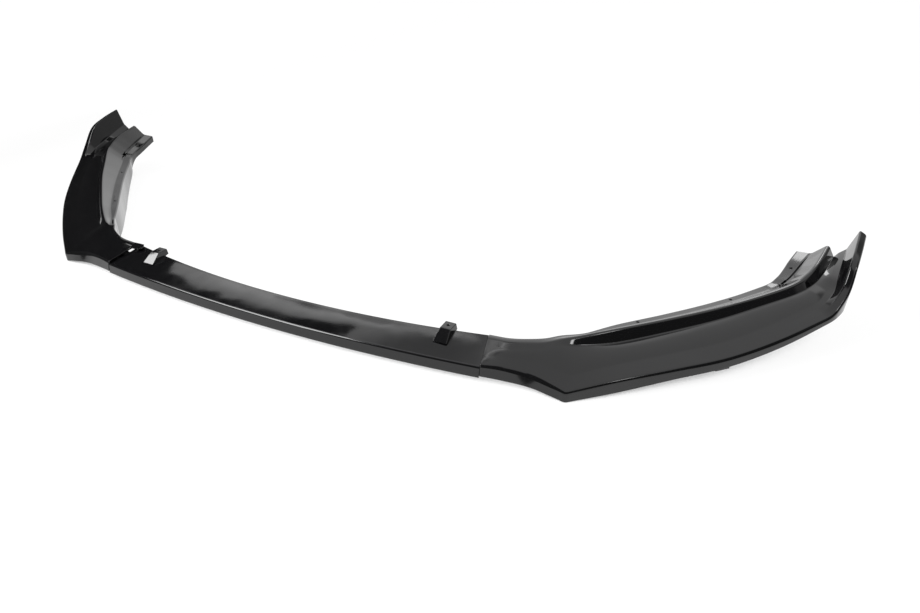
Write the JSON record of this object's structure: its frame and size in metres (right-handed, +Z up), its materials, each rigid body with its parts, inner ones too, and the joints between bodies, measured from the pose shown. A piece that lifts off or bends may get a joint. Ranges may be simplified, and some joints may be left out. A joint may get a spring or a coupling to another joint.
{
  "type": "front splitter lip",
  "caption": "Wide low car front splitter lip in gloss black, with a bowed centre blade, bent side blades, raised inner ridges and upturned end fins.",
  "frame": {"origin": "on the ground plane under the middle of the whole lip", "axes": "+X across the car towards the right-hand end in the view from ahead, +Y rearwards from the leading edge, +Z up"},
  "size_m": [1.708, 0.5118, 0.1454],
  "materials": {
    "moulded_black": "high gloss moulded black, lighter fine edges",
    "zinc": "bright zinc plate"
  },
  "bodies": {
    "root": {"centre_blade": "moulded_black", "left_blade": "moulded_black", "right_blade": "moulded_black", "left_front_screw": "zinc", "left_rear_screw": "zinc", "right_front_screw": "zinc", "right_rear_screw": "zinc", "left_front_washer": "zinc", "left_rear_washer": "zinc", "right_front_washer": "zinc", "right_rear_washer": "zinc"}
  },
  "joints": []
}
